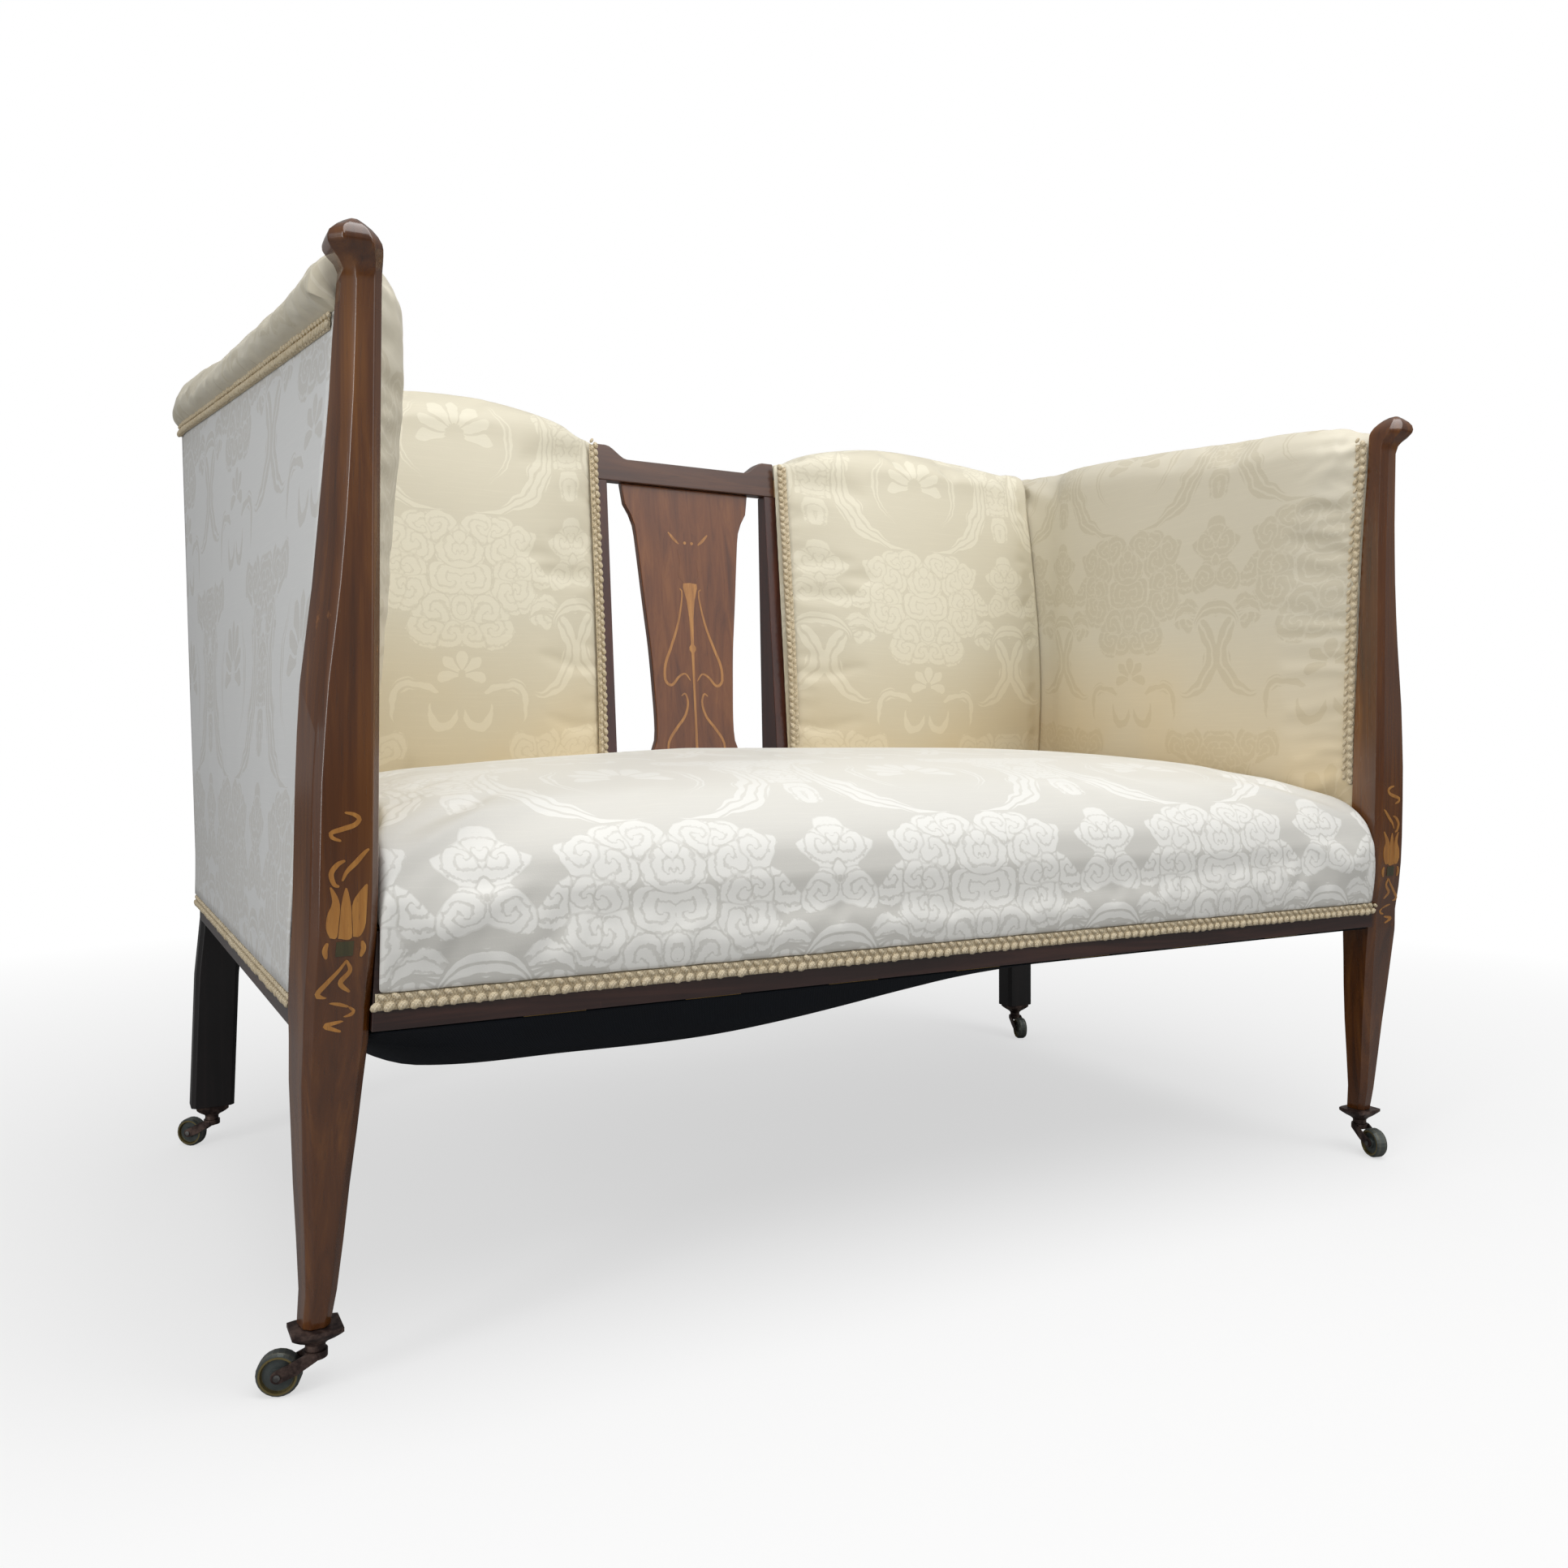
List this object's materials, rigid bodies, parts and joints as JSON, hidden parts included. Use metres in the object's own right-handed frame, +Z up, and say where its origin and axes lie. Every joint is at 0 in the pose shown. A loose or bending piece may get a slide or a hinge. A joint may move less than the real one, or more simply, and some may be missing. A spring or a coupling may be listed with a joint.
{
  "type": "two-seater sofa",
  "caption": "Inlaid mahogany parlour settee with padded arms and back in cream damask, open vase splat, gimp braid and brass swivel casters.",
  "frame": {"origin": "middle of the overall footprint at floor level, under the wheels' lowest point", "axes": "+X to the right as one faces the front of the settee, +Y from the front to the back, +Z up"},
  "size_m": [1.272, 0.7484, 0.9],
  "materials": {
    "post_mahogany": "reddish brown mahogany, french polished, glossy",
    "splat_mahogany": "lighter figured mahogany with amber line inlay",
    "dark_mahogany": "dark stained mahogany, satin polish",
    "frame_beech": "plain sawn beech, hidden",
    "cream_damask": "cream tone-on-tone floral damask",
    "cream_gimp": "beaded cream gimp braid",
    "black_lining": "blue-black cambric",
    "jute_web": "jute webbing",
    "hessian": "coarse hessian",
    "spring_steel": "plain steel wire and pins",
    "aged_brass": "dark aged brass",
    "caster_wheel": "worn brass wheel with a slate-grey face"
  },
  "bodies": {
    "frame": {"front_left_post": "post_mahogany", "front_right_post": "post_mahogany", "rear_left_leg": "dark_mahogany", "rear_right_leg": "dark_mahogany", "front_seat_rail": "dark_mahogany", "rear_seat_rail": "dark_mahogany", "left_seat_rail": "dark_mahogany", "right_seat_rail": "dark_mahogany", "front_left_corner_block": "frame_beech", "front_right_corner_block": "frame_beech", "rear_left_corner_block": "frame_beech", "rear_right_corner_block": "frame_beech", "left_back_stile": "post_mahogany", "right_back_stile": "post_mahogany", "crest_rail": "post_mahogany", "back_splat": "splat_mahogany", "lower_back_rail": "frame_beech", "left_back_top_rail": "frame_beech", "right_back_top_rail": "frame_beech", "left_arm_rail": "frame_beech", "right_arm_rail": "frame_beech", "left_back_pad": "cream_damask", "right_back_pad": "cream_damask", "left_arm_pad": "cream_damask", "right_arm_pad": "cream_damask", "left_outside_arm_cover": "cream_damask", "right_outside_arm_cover": "cream_damask", "left_outside_back_cover": "cream_damask", "right_outside_back_cover": "cream_damask", "lower_back_cover": "cream_damask", "seat_cushion": "cream_damask", "seat_webbing": "jute_web", "seat_springs": "spring_steel", "seat_hessian": "hessian", "bottom_lining": "black_lining", "front_gimp": "cream_gimp", "left_arm_gimp": "cream_gimp", "right_arm_gimp": "cream_gimp", "left_stile_gimp": "cream_gimp", "right_stile_gimp": "cream_gimp", "front_left_caster_socket": "aged_brass", "front_left_swivel_pin": "spring_steel", "front_right_caster_socket": "aged_brass", "front_right_swivel_pin": "spring_steel", "rear_left_caster_socket": "aged_brass", "rear_left_swivel_pin": "spring_steel", "rear_right_caster_socket": "aged_brass", "rear_right_swivel_pin": "spring_steel"},
    "front_left_horn_body": {"front_left_caster_horn": "aged_brass", "front_left_caster_axle": "spring_steel"},
    "front_left_wheel_body": {"front_left_caster_wheel": "caster_wheel"},
    "front_right_horn_body": {"front_right_caster_horn": "aged_brass", "front_right_caster_axle": "spring_steel"},
    "front_right_wheel_body": {"front_right_caster_wheel": "caster_wheel"},
    "rear_left_horn_body": {"rear_left_caster_horn": "aged_brass", "rear_left_caster_axle": "spring_steel"},
    "rear_left_wheel_body": {"rear_left_caster_wheel": "caster_wheel"},
    "rear_right_horn_body": {"rear_right_caster_horn": "aged_brass", "rear_right_caster_axle": "spring_steel"},
    "rear_right_wheel_body": {"rear_right_caster_wheel": "caster_wheel"}
  },
  "joints": [
    {"name": "front_left_swivel", "type": "hinge", "parent": "frame", "child": "front_left_horn_body", "pos_m": [-0.57817, -0.30447, 0.0316], "axis": [0, 0, 1], "continuous": true},
    {"name": "front_left_roll", "type": "hinge", "parent": "front_left_horn_body", "child": "front_left_wheel_body", "pos_m": [-0.60167, -0.29592, 0.016], "axis": [-0.342, -0.9397, 0], "continuous": true},
    {"name": "front_right_swivel", "type": "hinge", "parent": "frame", "child": "front_right_horn_body", "pos_m": [0.57817, -0.30447, 0.0316], "axis": [0, 0, 1], "continuous": true},
    {"name": "front_right_roll", "type": "hinge", "parent": "front_right_horn_body", "child": "front_right_wheel_body", "pos_m": [0.57128, -0.32851, 0.016], "axis": [0.9613, -0.2756, 0], "continuous": true},
    {"name": "rear_left_swivel", "type": "hinge", "parent": "frame", "child": "rear_left_horn_body", "pos_m": [-0.5935, 0.34225, 0.0316], "axis": [0, 0, 1], "continuous": true},
    {"name": "rear_left_roll", "type": "hinge", "parent": "rear_left_horn_body", "child": "rear_left_wheel_body", "pos_m": [-0.6132, 0.35764, 0.016], "axis": [-0.6157, -0.788, 0], "continuous": true},
    {"name": "rear_right_swivel", "type": "hinge", "parent": "frame", "child": "rear_right_horn_body", "pos_m": [0.5935, 0.34225, 0.0316], "axis": [0, 0, 1], "continuous": true},
    {"name": "rear_right_roll", "type": "hinge", "parent": "rear_right_horn_body", "child": "rear_right_wheel_body", "pos_m": [0.58495, 0.31876, 0.016], "axis": [0.9397, -0.342, 0], "continuous": true}
  ]
}
